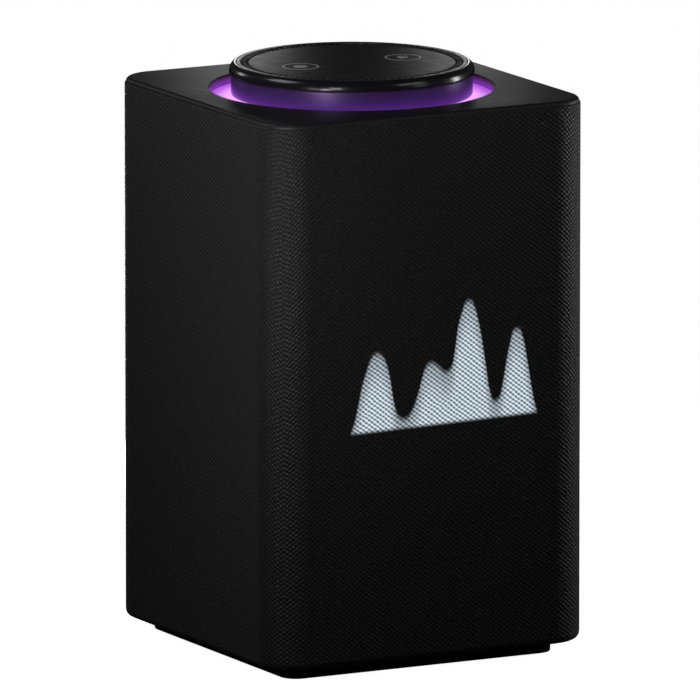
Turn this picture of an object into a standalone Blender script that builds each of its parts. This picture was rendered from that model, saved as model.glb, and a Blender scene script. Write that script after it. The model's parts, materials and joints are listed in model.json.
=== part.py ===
"""Smart speaker: a fabric-covered square column with a glowing well and a volume ring on top.

Lengths are millimetres here and become metres when a mesh is made. The front faces -Y,
+Z is up, and the origin is the centre of the foot's underside.
"""

import math

import bmesh
import bpy
from mathutils import Matrix, Vector

MM = 0.001
GAP = 0.3                    # clearance between neighbours
PART_NAME = "smart_speaker"

# column
WIDTH = 141.0                # outside the fabric, both ways
CORNER = 17.0                # outside radius of the upright corners
FOOT_WIDTH = 119.0
FOOT_HEIGHT = 5.2
BODY_LOW = 5.3               # underside of the fabric
BODY_HIGH = 221.3            # top edge of the fabric
FABRIC = 1.0                 # thickness of the sleeve
SHELL_WALL = 2.2
CORNER_SEGMENTS = 7

# top plate and the well round the ring
PLATE_TOP = 221.1
PLATE_LOW = 217.2
WELL_RADIUS = 55.8
DIFFUSER_TOP = 216.9
DIFFUSER_THICK = 2.0

# volume ring and the disc inside it
RING_RADIUS = 48.2           # the cap's widest edge
RING_WALL_RADIUS = 47.4      # the lit wall under the cap
RING_INNER = 46.0
RING_TOP = 231.0
RING_LOW = 218.4
CHAMFER_WIDTH = 2.6
CHAMFER_HEIGHT = 3.8
TRIM_OUTER = 45.25
TRIM_INNER = 43.75
VENT_INNER = 40.9
VENT_SLOTS = 96
DISC_TOP = 230.7
BUTTON_RADIUS = 7.6
BUTTON_OFFSET = 22.7         # from the ring's axis, along X
ROUND_STEPS = 48

# gears that turn the encoder with the ring
GEAR_MODULE = 1.38
RING_TEETH = 60
PINION_TEETH = 12
GEAR_LOW = 220.9
GEAR_HIGH = 224.2
GEAR_DISTANCE = GEAR_MODULE * (RING_TEETH - PINION_TEETH) / 2

# sealed cabinet
CABINET_HALF = 60.0          # half of its width along X
CABINET_FRONT = -61.0        # front face of the baffle
CABINET_REAR = 44.0
CABINET_LOW = 14.0
CABINET_HIGH = 203.0
CABINET_WALL = 3.0

# drivers: places on the baffle and on the cabinet's sides
WOOFER_Z = 54.5
WOOFER_FLANGE = 40.0
SMALL_DRIVER_Z = 180.0
MID_X = 19.5
TWEETER_X = 49.0
RADIATOR_Y = -8.0
RADIATOR_Z = 80.0

# light matrix behind the fabric
DISPLAY_HALF = 45.7
DISPLAY_LOW = 96.3
DISPLAY_HIGH = 155.7
WINDOW_MARGIN = 0.3

# connectors at the back
PORT_Z = 23.0
PORT_WINDOW_HALF = (36.0, 9.0)
PORT_PANEL_HALF = (35.4, 8.4)
PORT_PANEL_Y = (66.0, 69.4)
BOARD_Y = (50.0, 51.6)

SCREW_PLACES = [(-48.0, -48.0), (48.0, -48.0), (-48.0, 34.0), (48.0, 34.0)]

# colour, roughness, metallic
FINISHES = {
    "fabric": ((0.020, 0.020, 0.022), 0.95, 0.0),
    "rubber": ((0.012, 0.012, 0.012), 0.85, 0.0),
    "black_plastic": ((0.022, 0.022, 0.024), 0.45, 0.0),
    "gloss_plastic": ((0.015, 0.015, 0.018), 0.15, 0.0),
    "disc_plastic": ((0.035, 0.035, 0.038), 0.55, 0.0),
    "satin_metal": ((0.35, 0.35, 0.37), 0.30, 0.9),
    "diffuser": ((0.75, 0.60, 0.95), 0.35, 0.0),
    "white_plastic": ((0.80, 0.80, 0.80), 0.50, 0.0),
    "grey_plastic": ((0.28, 0.28, 0.30), 0.50, 0.0),
    "circuit_board": ((0.02, 0.16, 0.08), 0.40, 0.0),
    "steel": ((0.55, 0.55, 0.57), 0.30, 1.0),
    "magnet": ((0.06, 0.06, 0.07), 0.60, 0.2),
    "aluminium": ((0.70, 0.70, 0.72), 0.35, 1.0),
    "paper": ((0.08, 0.08, 0.085), 0.80, 0.0),
    "copper": ((0.72, 0.36, 0.18), 0.30, 1.0),
    "silk": ((0.10, 0.09, 0.08), 0.60, 0.0),
    "ribbon": ((0.75, 0.72, 0.62), 0.50, 0.0),
}

REAR_TURN = (math.radians(-90), 0, 0)     # local +Z points to +Y
FRONT_TURN = (math.radians(90), 0, 0)     # local +Z points to -Y


# ---- scene, materials and small tools ----

def clear_scene():
    for item in list(bpy.data.objects):
        bpy.data.objects.remove(item, do_unlink=True)


def make_collection(name):
    group = bpy.data.collections.new(name)
    bpy.context.scene.collection.children.link(group)
    return group


def make_materials():
    made = {}
    for name, (colour, roughness, metallic) in FINISHES.items():
        material = bpy.data.materials.new(name)
        material.use_nodes = True
        shader = material.node_tree.nodes["Principled BSDF"]
        shader.inputs["Base Color"].default_value = (*colour, 1.0)
        shader.inputs["Roughness"].default_value = roughness
        shader.inputs["Metallic"].default_value = metallic
        made[name] = material
    return made


clear_scene()
PARTS = make_collection(PART_NAME)
CUTTERS = make_collection("cutters")
MATERIALS = make_materials()


def place(item, location, turn, parent):
    item.location = Vector(location) * MM
    item.rotation_euler = turn
    item.parent = parent


def add_piece(name, data, finish, location=(0, 0, 0), turn=(0, 0, 0), parent=None):
    """Link a mesh or a curve as one of the speaker's pieces."""
    piece = bpy.data.objects.new(name, data)
    PARTS.objects.link(piece)
    data.materials.append(MATERIALS[finish])
    place(piece, location, turn, parent)
    return piece


def add_cutter(name, bm, parent=None):
    mesh = bpy.data.meshes.new(name)
    bm.to_mesh(mesh)
    bm.free()
    item = bpy.data.objects.new(name, mesh)
    CUTTERS.objects.link(item)
    item.parent = parent
    item.display_type = "WIRE"
    item.hide_render = True
    return item


def add_axis(name, location, turn):
    """An empty that carries the pieces of one driver; its Z is the driver's axis."""
    axis = bpy.data.objects.new(name, None)
    PARTS.objects.link(axis)
    place(axis, location, turn, None)
    return axis


def boolean(piece, other, operation="DIFFERENCE"):
    modifier = piece.modifiers.new(f"{operation} {other.name}", "BOOLEAN")
    modifier.operation = operation
    modifier.solver = "EXACT"
    modifier.object = other


def box_into(bm, low, high):
    low, high = Vector(low) * MM, Vector(high) * MM
    size = high - low
    matrix = Matrix.Translation((low + high) / 2) @ Matrix.Diagonal((*size, 1.0))
    return bmesh.ops.create_cube(bm, size=1.0, matrix=matrix)["verts"]


def cylinder_into(bm, radius, centre, depth, segments=32, turn=Matrix.Identity(4)):
    """A capped cylinder centred at centre; its axis is local Z turned by turn."""
    matrix = Matrix.Translation(Vector(centre) * MM) @ turn
    bmesh.ops.create_cone(bm, cap_ends=True, segments=segments, radius1=radius * MM,
                          radius2=radius * MM, depth=depth * MM, matrix=matrix)


ALONG_X = Matrix.Rotation(math.radians(90), 4, "Y")
ALONG_Y = Matrix.Rotation(math.radians(90), 4, "X")


def slab_into(bm, half_x, half_y, z_low, z_high, corner, rims=None, segments=CORNER_SEGMENTS):
    """A rounded square slab; rims gives the rounding of the edges at a height."""
    box_into(bm, (-half_x, -half_y, z_low), (half_x, half_y, z_high))
    upright = [e for e in bm.edges if abs(e.verts[0].co.z - e.verts[1].co.z) > GAP * MM]
    bmesh.ops.bevel(bm, geom=upright, offset=corner * MM, segments=segments,
                    affect="EDGES", profile=0.5)
    for height, radius in (rims or {}).items():
        rim = [e for e in bm.edges if all(abs(v.co.z - height * MM) < 1e-6 for v in e.verts)]
        bmesh.ops.bevel(bm, geom=rim, offset=radius * MM, segments=3, affect="EDGES",
                        profile=0.5)


def mesh_from(bm, name):
    mesh = bpy.data.meshes.new(name)
    bm.to_mesh(mesh)
    bm.free()
    return mesh


def slab(name, finish, *dimensions, **options):
    bm = bmesh.new()
    slab_into(bm, *dimensions, **options)
    return add_piece(name, mesh_from(bm, name), finish)


def box(name, finish, low, high, round_edges=0.0, **options):
    bm = bmesh.new()
    box_into(bm, low, high)
    if round_edges:
        bmesh.ops.bevel(bm, geom=list(bm.edges), offset=round_edges * MM, segments=1,
                        affect="EDGES", profile=0.5)
    return add_piece(name, mesh_from(bm, name), finish, **options)


def turned(name, finish, profile, steps=ROUND_STEPS, **options):
    """A piece turned about its Z; the (radius, height) profile runs down its outer side."""
    points = [(radius * MM, 0.0, height * MM) for radius, height in profile]
    edges = [(i, i + 1) for i in range(len(points) - 1)]
    if profile[0][0] > 0:
        edges.append((len(points) - 1, 0))
    mesh = bpy.data.meshes.new(name)
    mesh.from_pydata(points, edges, [])
    piece = add_piece(name, mesh, finish, **options)
    screw = piece.modifiers.new("Turn", "SCREW")
    screw.steps = screw.render_steps = steps
    screw.use_merge_vertices = True
    screw.merge_threshold = 0.00001
    return piece


def ring_profile(inner, outer, low, high):
    return [(outer, high), (outer, low), (inner, low), (inner, high)]


def flat_outline(name, finish, outlines, low, high, **options):
    """A plate between two heights, from closed outlines; inner outlines are holes."""
    curve = bpy.data.curves.new(name, "CURVE")
    curve.dimensions = "2D"
    curve.fill_mode = "BOTH"
    curve.extrude = (high - low) / 2 * MM
    for outline in outlines:
        spline = curve.splines.new("POLY")
        spline.points.add(len(outline) - 1)
        spline.use_cyclic_u = True
        for point, (x, y) in zip(spline.points, outline):
            point.co = (x * MM, y * MM, 0.0, 1.0)
    options["location"] = Vector(options.get("location", (0, 0, 0))) + Vector((0, 0, (low + high) / 2))
    return add_piece(name, curve, finish, **options)


def polar(radius, angle):
    return radius * math.cos(angle), radius * math.sin(angle)


def circle(radius, count):
    return [polar(radius, math.tau * i / count) for i in range(count)]


def toothed(count, root, tip, root_share, tip_share, start=0.0):
    """Outline with count teeth; the shares are the parts of the pitch that a tooth fills."""
    points = []
    for tooth in range(count):
        middle = start + math.tau * tooth / count
        for radius, share in ((root, -root_share), (tip, -tip_share), (tip, tip_share),
                              (root, root_share)):
            points.append(polar(radius, middle + share / 2 * math.tau / count))
    return points


def roll_profile(inner, outer, lip_in, lip_out, base, thick, segments=3):
    """A half-roll surround: flat lips at base joined by an arch, one thickness throughout."""
    middle, reach = (inner + outer) / 2, (outer - inner) / 2
    angles = [math.pi * i / segments for i in range(segments + 1)]
    crown = [(middle - math.cos(a) * reach, base + thick + math.sin(a) * reach) for a in angles]
    hollow = [(middle + math.cos(a) * (reach - thick), base + math.sin(a) * (reach - thick))
              for a in angles]
    return ([(lip_in, base + thick)] + crown + [(lip_out, base + thick), (lip_out, base)]
            + hollow + [(lip_in, base)])


# ---- column: foot, base, shell, fabric ----

def make_base():
    half = WIDTH / 2
    slab("foot_pad", "rubber", FOOT_WIDTH / 2, FOOT_WIDTH / 2, 0.0, FOOT_HEIGHT, 7.0,
         rims={0.0: 0.8}, segments=4)
    shell_inner = half - FABRIC - GAP - SHELL_WALL
    base_low = FOOT_HEIGHT + GAP
    base_top = BODY_LOW + 4.3
    base = slab("base_plate", "black_plastic", shell_inner - GAP, shell_inner - GAP,
                BODY_LOW + FABRIC + GAP, base_top, CORNER - half + shell_inner - GAP, segments=4)
    step = bmesh.new()
    slab_into(step, 63.7, 63.7, base_low, base_top - 1.0, 10.2, segments=4)
    boolean(base, add_cutter("base_step", step), "UNION")
    posts, holes, sinks = bmesh.new(), bmesh.new(), bmesh.new()
    for x, y in SCREW_PLACES:
        post_top = CABINET_LOW - GAP
        cylinder_into(posts, 4.5, (x, y, (base_top + post_top) / 2 - 0.5), post_top - base_top + 1.0, 16)
        cylinder_into(holes, 1.9, (x, y, 10.0), 20.0, 12)
        cylinder_into(sinks, 3.6, (x, y, 6.2), 4.0, 16)
    boolean(base, add_cutter("base_posts", posts), "UNION")
    boolean(base, add_cutter("base_holes", holes))
    boolean(base, add_cutter("base_sinks", sinks))
    shank = [(0, 16), (0.9, 16), (1.5, 15), (1.5, 1.8), (3.2, 1.5), (3.2, 0), (1.2, 0), (1.2, 1.0), (0, 1.0)]
    for number, (x, y) in enumerate(SCREW_PLACES, 1):
        turned(f"base_screw_{number}", "steel", shank, steps=12, location=(x, y, 6.1))


def port_window():
    half_x, half_z = PORT_WINDOW_HALF
    window = bmesh.new()
    box_into(window, (-half_x, 60.0, PORT_Z - half_z), (half_x, 75.0, PORT_Z + half_z))
    return add_cutter("port_window", window)


def slot_cutter():
    """The shell's openings: over the woofer, the small drivers, the radiators and the heat sink."""
    bm = bmesh.new()
    slot, pitch, reach = 4.4, 8.0, 36.0
    front, back = (-75.0, -60.0), (60.0, 75.0)
    for i in range(-4, 5):
        across = i * pitch
        chord = math.sqrt(reach ** 2 - across ** 2) - 1.0
        box_into(bm, (across - slot / 2, front[0], WOOFER_Z - chord),
                 (across + slot / 2, front[1], WOOFER_Z + chord))
        for low_x, high_x in (front, back):
            side = RADIATOR_Y + across
            box_into(bm, (low_x, side - slot / 2, RADIATOR_Z - chord),
                     (high_x, side + slot / 2, RADIATOR_Z + chord))
    for i in range(-6, 7):
        box_into(bm, (i * 9.0 - slot / 2, front[0], SMALL_DRIVER_Z - 17.0),
                 (i * 9.0 + slot / 2, front[1], SMALL_DRIVER_Z + 17.0))
    for i in range(-3, 4):
        box_into(bm, (i * 11.0 - slot / 2, back[0], 118.0), (i * 11.0 + slot / 2, back[1], 178.0))
    edge = DISPLAY_HALF + WINDOW_MARGIN
    box_into(bm, (-edge, front[0], DISPLAY_LOW - WINDOW_MARGIN),
             (edge, front[1], DISPLAY_HIGH + WINDOW_MARGIN))
    return add_cutter("shell_slots", bm)


def make_column():
    half = WIDTH / 2
    window = port_window()

    sleeve = slab("fabric_sleeve", "fabric", half, half, BODY_LOW, BODY_HIGH, CORNER,
                  rims={BODY_LOW: 3.0, BODY_HIGH: 1.6})
    hollow, mouth, underside = bmesh.new(), bmesh.new(), bmesh.new()
    slab_into(hollow, half - FABRIC, half - FABRIC, BODY_LOW + FABRIC, BODY_HIGH - FABRIC,
              CORNER - FABRIC, rims={BODY_LOW + FABRIC: 2.0, BODY_HIGH - FABRIC: 0.6})
    slab_into(mouth, half - 1.6, half - 1.6, BODY_HIGH - 5.0, BODY_HIGH + 5.0, CORNER - 1.6)
    slab_into(underside, 64.0, 64.0, 0.0, BODY_LOW + 5.0, 10.5, segments=4)
    boolean(sleeve, add_cutter("sleeve_hollow", hollow))
    boolean(sleeve, add_cutter("sleeve_mouth", mouth))
    boolean(sleeve, add_cutter("sleeve_underside", underside))
    boolean(sleeve, window)

    outer = half - FABRIC - GAP
    inner = outer - SHELL_WALL
    shell_low = BODY_LOW + FABRIC + GAP
    shell = slab("grille_shell", "black_plastic", outer, outer, shell_low, PLATE_LOW - GAP,
                 CORNER - FABRIC - GAP, rims={shell_low: 2.0})
    bore = bmesh.new()
    slab_into(bore, inner, inner, 0.0, BODY_HIGH, CORNER - FABRIC - GAP - SHELL_WALL)
    boolean(shell, add_cutter("shell_bore", bore))
    boolean(shell, slot_cutter())
    boolean(shell, window)


# ---- cabinet ----

def make_cabinet():
    half = CABINET_HALF
    baffle_back = CABINET_FRONT + CABINET_WALL
    baffle = box("cabinet_front", "black_plastic", (-half, CABINET_FRONT, CABINET_LOW),
                 (half, baffle_back, CABINET_HIGH))
    holes = bmesh.new()
    depth = 4 * CABINET_WALL
    cylinder_into(holes, 35.6, (0, CABINET_FRONT, WOOFER_Z), depth, 32, ALONG_Y)
    for side in (-1, 1):
        cylinder_into(holes, 16.6, (side * MID_X, CABINET_FRONT, SMALL_DRIVER_Z), depth, 20, ALONG_Y)
        cylinder_into(holes, 8.2, (side * TWEETER_X, CABINET_FRONT, SMALL_DRIVER_Z), depth, 16, ALONG_Y)
    box_into(holes, (-11, CABINET_FRONT - 5, 124), (11, baffle_back + 5, 126))
    boolean(baffle, add_cutter("baffle_holes", holes))

    rear = box("cabinet_rear", "black_plastic", (-half, baffle_back + GAP, CABINET_LOW),
               (half, CABINET_REAR, CABINET_HIGH))
    hollow, openings = bmesh.new(), bmesh.new()
    box_into(hollow, (-half + CABINET_WALL, baffle_back - 5, CABINET_LOW + CABINET_WALL),
             (half - CABINET_WALL, CABINET_REAR - CABINET_WALL, CABINET_HIGH - CABINET_WALL))
    for side in (-1, 1):
        cylinder_into(openings, 36.0, (side * half, RADIATOR_Y, RADIATOR_Z), depth, 32, ALONG_X)
    box_into(openings, (-11, CABINET_REAR - 10, 124), (11, CABINET_REAR + 5, 126))
    for x, y in SCREW_PLACES:
        cylinder_into(openings, 1.8, (x, y, CABINET_LOW), depth, 12)
    boolean(rear, add_cutter("cabinet_hollow", hollow))
    boolean(rear, add_cutter("cabinet_openings", openings))


# ---- drivers, each turned about its own axis with +Z out of the cabinet ----

def make_woofer():
    axis = add_axis("woofer_axis", (0, CABINET_FRONT, WOOFER_Z), FRONT_TURN)
    steps = 24
    frame = turned("woofer_frame", "black_plastic",
                   [(WOOFER_FLANGE, 2.3), (WOOFER_FLANGE, GAP), (35.2, GAP), (35.2, -3), (25, -19.5),
                    (25, -22), (14, -22), (14, -20), (23.4, -20), (33, -4), (33, 2.3)],
                   steps=steps, parent=axis)
    windows = bmesh.new()
    for i in range(5):
        before = len(windows.verts)
        box_into(windows, (20, -6.5, -17.5), (45, 6.5, -6.5))
        windows.verts.ensure_lookup_table()
        bmesh.ops.rotate(windows, verts=windows.verts[before:], cent=(0, 0, 0),
                         matrix=Matrix.Rotation(math.tau * i / 5, 3, "Z"))
    boolean(frame, add_cutter("woofer_windows", windows, parent=axis))
    turned("woofer_surround", "rubber", roll_profile(27.2, 32.4, 25.2, 36.0, 2.6, 0.7),
           steps=steps, parent=axis)
    turned("woofer_cone", "paper",
           [(0, -5.4), (6, -6.4), (10.5, -9), (26.9, 2.2), (26.9, 1.3), (10.6, -10.4), (9.4, -11.4),
            (6, -7.3), (0, -6.3)], steps=steps, parent=axis)
    turned("woofer_coil", "copper", ring_profile(9.3, 10.0, -25.5, -11.8), steps=20, parent=axis)
    turned("woofer_spider", "ribbon",
           [(10.6, -13.7), (15, -12.7), (19, -14.3), (23, -12.7), (26.4, -13.7), (26.4, -14.3),
            (23, -13.3), (19, -14.9), (15, -13.3), (10.6, -14.3)],
           steps=20, parent=axis)
    turned("woofer_front_plate", "steel", ring_profile(10.6, 21.0, -26.9, -22.3), steps=24, parent=axis)
    turned("woofer_magnet", "magnet", ring_profile(12.5, 24.0, -35.7, -27.2), steps=24, parent=axis)
    turned("woofer_yoke", "steel", [(0, -20.8), (8.6, -20.8), (8.6, -36), (22, -36), (22, -40), (0, -40)],
           steps=24, parent=axis)


def make_small_drivers():
    mid_frame = [(0, -14.5), (10, -14.5), (10, -9), (14.6, -2), (14.6, 1.8), (19, 1.8), (19, GAP),
                 (16.2, GAP), (16.2, -2), (11.6, -9.4), (11.6, -16), (0, -16)]
    mid_cone = [(0, -2.6), (4.6, -4.4), (11.2, 0.4), (12.6, 1.7), (14.1, 0.6), (14.1, -0.2),
                (12.6, 0.9), (11.2, -0.6), (4.6, -5.4), (0, -3.6)]
    tweeter_body = [(0, -5), (7, -5), (7, 1.5), (10, 1.5), (10, GAP), (7.8, GAP), (7.8, -9), (0, -9)]
    tweeter_dome = [(0, 1.4), (3.2, 0.9), (5.4, -0.4), (6.5, -0.4), (6.5, -1.0), (5.2, -1.0),
                    (3.0, 0.3), (0, 0.8)]
    for side, name in ((-1, "left"), (1, "right")):
        mid = add_axis(f"mid_{name}_axis", (side * MID_X, CABINET_FRONT, SMALL_DRIVER_Z), FRONT_TURN)
        turned(f"mid_{name}_frame", "black_plastic", mid_frame, steps=16, parent=mid)
        turned(f"mid_{name}_cone", "paper", mid_cone, steps=16, parent=mid)
        tweeter = add_axis(f"tweeter_{name}_axis", (side * TWEETER_X, CABINET_FRONT, SMALL_DRIVER_Z),
                           FRONT_TURN)
        turned(f"tweeter_{name}_body", "black_plastic", tweeter_body, steps=16, parent=tweeter)
        turned(f"tweeter_{name}_dome", "silk", tweeter_dome, steps=16, parent=tweeter)


def make_radiators():
    plate = [(0, 0), (28.6, 0), (28.6, -2.5), (18, -2.5), (18, -7), (0, -7)]
    for side, name in ((-1, "left"), (1, "right")):
        axis = add_axis(f"radiator_{name}_axis", (side * CABINET_HALF, RADIATOR_Y, RADIATOR_Z),
                        (0, math.radians(90 * side), 0))
        turned(f"radiator_{name}_surround", "rubber",
               roll_profile(29.4, 36.6, 26.4, 40.5, GAP, 0.9), steps=24, parent=axis)
        turned(f"radiator_{name}_plate", "grey_plastic", plate, steps=24, parent=axis)


# ---- light matrix ----

def make_display():
    half, low, high = DISPLAY_HALF, DISPLAY_LOW, DISPLAY_HIGH
    face = -(WIDTH / 2 - FABRIC) + 0.4
    box("display_diffuser", "white_plastic", (-half, face, low), (half, face + 0.8, high))
    frame_back = -63.9
    frame = box("display_frame", "white_plastic", (-half, face + 1.1, low), (half, frame_back, high))
    cells = bmesh.new()
    columns, rows, wall = 5, 4, 1.0
    cell_x = (2 * half - wall) / columns
    cell_z = (high - low - wall) / rows
    for column in range(columns):
        for row in range(rows):
            x = -half + wall + column * cell_x
            z = low + wall + row * cell_z
            box_into(cells, (x, face - 5, z), (x + cell_x - wall, frame_back + 5, z + cell_z - wall))
    boolean(frame, add_cutter("display_cells", cells))
    board_back = CABINET_FRONT - 1.0
    box("display_board", "circuit_board", (-half, frame_back + GAP, low), (half, board_back, high))
    box("display_ribbon", "ribbon", (-10, board_back + GAP, 124.7), (10, BOARD_Y[0] - GAP, 125.3))


# ---- top plate and its light ----

def make_top():
    half = WIDTH / 2
    ledge = BODY_HIGH - FABRIC - GAP
    plate = slab("top_plate", "black_plastic", half - FABRIC - GAP, half - FABRIC - GAP, PLATE_LOW,
                 ledge, CORNER - FABRIC - GAP)
    crown, well = bmesh.new(), bmesh.new()
    inset = 1.6 + GAP
    slab_into(crown, half - inset, half - inset, PLATE_LOW + 1.0, PLATE_TOP, CORNER - inset)
    boolean(plate, add_cutter("plate_crown", crown), "UNION")
    cylinder_into(well, WELL_RADIUS, (0, 0, PLATE_LOW), 20.0, 64)
    boolean(plate, add_cutter("plate_well", well))

    diffuser_low = DIFFUSER_TOP - DIFFUSER_THICK
    turned("light_diffuser", "diffuser", ring_profile(41.0, 59.0, diffuser_low, DIFFUSER_TOP))
    tray_low, tray_top, wall = 207.5, diffuser_low - GAP, 1.2
    turned("light_tray", "white_plastic",
           [(59, tray_top), (59, tray_low), (40.3, tray_low), (40.3, tray_top), (40.3 + wall, tray_top),
            (40.3 + wall, tray_low + wall), (59 - wall, tray_low + wall), (59 - wall, tray_top)],
           steps=24)
    board_low = tray_low + wall + GAP
    board = turned("ring_led_board", "circuit_board",
                   ring_profile(42.0, 57.3, board_low, board_low + 1.4), steps=24)
    lamps = bmesh.new()
    for i in range(16):
        x, y = polar(52.0, math.tau * (i + 0.5) / 16)
        box_into(lamps, (x - 1.5, y - 1.5, board_low + 0.8), (x + 1.5, y + 1.5, board_low + 2.6))
    boolean(board, add_cutter("ring_lamps", lamps), "UNION")


# ---- volume ring, control disc and encoder ----

def make_ring():
    inner, wall = RING_INNER, RING_WALL_RADIUS
    lip = TRIM_OUTER + GAP
    segments = 4
    crown = []
    for i in range(segments + 1):
        angle = math.pi / 2 * (1 - i / segments)
        crown.append((RING_RADIUS - CHAMFER_WIDTH + math.cos(angle) * CHAMFER_WIDTH,
                      RING_TOP - CHAMFER_HEIGHT + math.sin(angle) * CHAMFER_HEIGHT))
    shoulder = RING_TOP - CHAMFER_HEIGHT
    turned("volume_ring", "gloss_plastic",
           crown + [(RING_RADIUS, shoulder - 0.4), (wall, shoulder - 0.7), (wall, RING_LOW + 0.4),
                    (wall - 0.4, RING_LOW), (inner, RING_LOW), (inner, shoulder),
                    (lip, shoulder + 0.5)])

    pitch = GEAR_MODULE * RING_TEETH / 2
    teeth = toothed(RING_TEETH, pitch + 1.1 * GEAR_MODULE, pitch - 0.75 * GEAR_MODULE, 0.62, 0.24)
    flat_outline("ring_gear", "white_plastic", [circle(inner - GAP, RING_TEETH), teeth], GEAR_LOW, GEAR_HIGH)

    pinion_pitch = GEAR_MODULE * PINION_TEETH / 2
    start = math.radians(90) + math.pi / PINION_TEETH
    outline = toothed(PINION_TEETH, pinion_pitch - 1.1 * GEAR_MODULE, pinion_pitch + 0.75 * GEAR_MODULE,
                      0.60, 0.24, start)
    gear = flat_outline("pinion_gear_blank", "white_plastic", [outline], GEAR_LOW, GEAR_HIGH)
    mesh = bpy.data.meshes.new_from_object(gear.evaluated_get(bpy.context.evaluated_depsgraph_get()))
    bpy.data.objects.remove(gear, do_unlink=True)
    bm = bmesh.new()
    bm.from_mesh(mesh)
    bpy.data.meshes.remove(mesh)
    bmesh.ops.remove_doubles(bm, verts=bm.verts, dist=1e-6)
    bmesh.ops.translate(bm, verts=bm.verts, vec=(0, 0, (GEAR_LOW + GEAR_HIGH) / 2 * MM))
    pinion = add_piece("encoder_pinion", mesh_from(bm, "encoder_pinion"), "white_plastic",
                       location=(0, GEAR_DISTANCE, 0))
    shaft = bmesh.new()
    shaft_low, shaft_high = 217.0, GEAR_LOW + 1.5
    cylinder_into(shaft, 3.0, (0, 0, (shaft_low + shaft_high) / 2), shaft_high - shaft_low, 16)
    boolean(pinion, add_cutter("pinion_shaft", shaft, parent=pinion), "UNION")

    body_low, body_high, body_half = 214.3, 220.4, 5.5
    encoder = box("encoder_body", "steel", (-body_half, -body_half, body_low),
                  (body_half, body_half, body_high), location=(0, GEAR_DISTANCE, 0))
    socket = bmesh.new()
    cylinder_into(socket, 3.3, (0, 0, body_high), 2 * (body_high - shaft_low + GAP), 16)
    boolean(encoder, add_cutter("encoder_socket", socket, parent=encoder))


def make_controls():
    deck_low, deck_top = 224.6, 225.6
    turned("control_core", "black_plastic",
           [(43, deck_top), (43, deck_low), (22.5, deck_low), (22.5, 214), (39.5, 214), (39.5, 212.6),
            (22.5, 212.6), (22.5, CABINET_HIGH + 2.3), (32, CABINET_HIGH + 2.3), (32, CABINET_HIGH + GAP),
            (20.5, CABINET_HIGH + GAP), (20.5, deck_top)], steps=24)
    bearing_top = RING_TOP - CHAMFER_HEIGHT - 0.1
    turned("slide_bearing", "white_plastic", ring_profile(43.3, 45.7, deck_low, bearing_top), steps=32)
    board_low, board_top = deck_top + GAP, deck_top + 1.5
    turned("mic_board", "circuit_board", [(0, board_top), (39, board_top), (39, board_low), (0, board_low)],
           steps=32)

    trim_low = bearing_top + GAP
    turned("trim_ring", "satin_metal",
           [(TRIM_OUTER - 0.3, RING_TOP), (TRIM_OUTER, RING_TOP - 0.3), (TRIM_OUTER, trim_low),
            (TRIM_INNER, trim_low), (TRIM_INNER, RING_TOP)])
    disc_radius, seat = VENT_INNER - GAP, DISC_TOP - 2.0
    seat_radius = TRIM_INNER - GAP
    disc_low = board_top + GAP
    disc = turned("top_disc", "disc_plastic",
                  [(0, DISC_TOP), (disc_radius - 0.3, DISC_TOP), (disc_radius, DISC_TOP - 0.3),
                   (disc_radius, seat), (seat_radius, seat), (seat_radius, disc_low), (0, disc_low)])
    holes = bmesh.new()
    cylinder_into(holes, 0.6, (0, 0, DISC_TOP), 20, 8)
    for side in (-1, 1):
        cylinder_into(holes, BUTTON_RADIUS + GAP, (side * BUTTON_OFFSET, 0, DISC_TOP), 20, 32)
    boolean(disc, add_cutter("disc_holes", holes))

    rim, notch = TRIM_INNER - GAP, TRIM_INNER - 1.6
    notched = [polar(notch if i % 2 else rim, math.pi * i / VENT_SLOTS) for i in range(2 * VENT_SLOTS)]
    flat_outline("vent_ring", "disc_plastic", [notched, circle(VENT_INNER, VENT_SLOTS // 2)],
                 seat + GAP, DISC_TOP - 0.3)

    cap_low = DISC_TOP - 1.8
    for side, name in ((-1, "action"), (1, "mute")):
        place_x = side * BUTTON_OFFSET
        turned(f"{name}_button", "disc_plastic",
               [(0, DISC_TOP), (BUTTON_RADIUS - 0.25, DISC_TOP), (BUTTON_RADIUS, DISC_TOP - 0.25),
                (BUTTON_RADIUS, cap_low), (0, cap_low)], steps=32, location=(place_x, 0, 0))
        box(f"{name}_switch", "steel", (place_x - 2.6, -2.6, board_top + GAP),
            (place_x + 2.6, 2.6, board_top + 1.15), round_edges=0.2)


# ---- electronics in the rear bay and the connectors ----

def make_electronics():
    front, back = BOARD_Y
    box("main_board", "circuit_board", (-45, front, 12), (45, back, 190))
    can = box("shield_can", "steel", (-38, back + GAP, 60), (2, back + 3.8, 100), round_edges=0.4)
    inside = bmesh.new()
    box_into(inside, (-37.5, back - 3, 60.5), (1.5, back + 3.3, 99.5))
    boolean(can, add_cutter("can_inside", inside))

    sink_half, base, fin, fins, depth = 36.0, 2.5, 2.0, 9, 12.5
    pitch = (2 * sink_half - fin) / (fins - 1)
    comb = []
    for i in reversed(range(fins)):
        left = -sink_half + i * pitch
        comb += [(left + fin, base), (left + fin, depth), (left, depth), (left, base)]
    outline = [(-sink_half, 0), (sink_half, 0)] + comb[1:-1]
    flat_outline("heat_sink", "aluminium", [outline], 116, 180, location=(0, back + GAP, 0))


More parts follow.
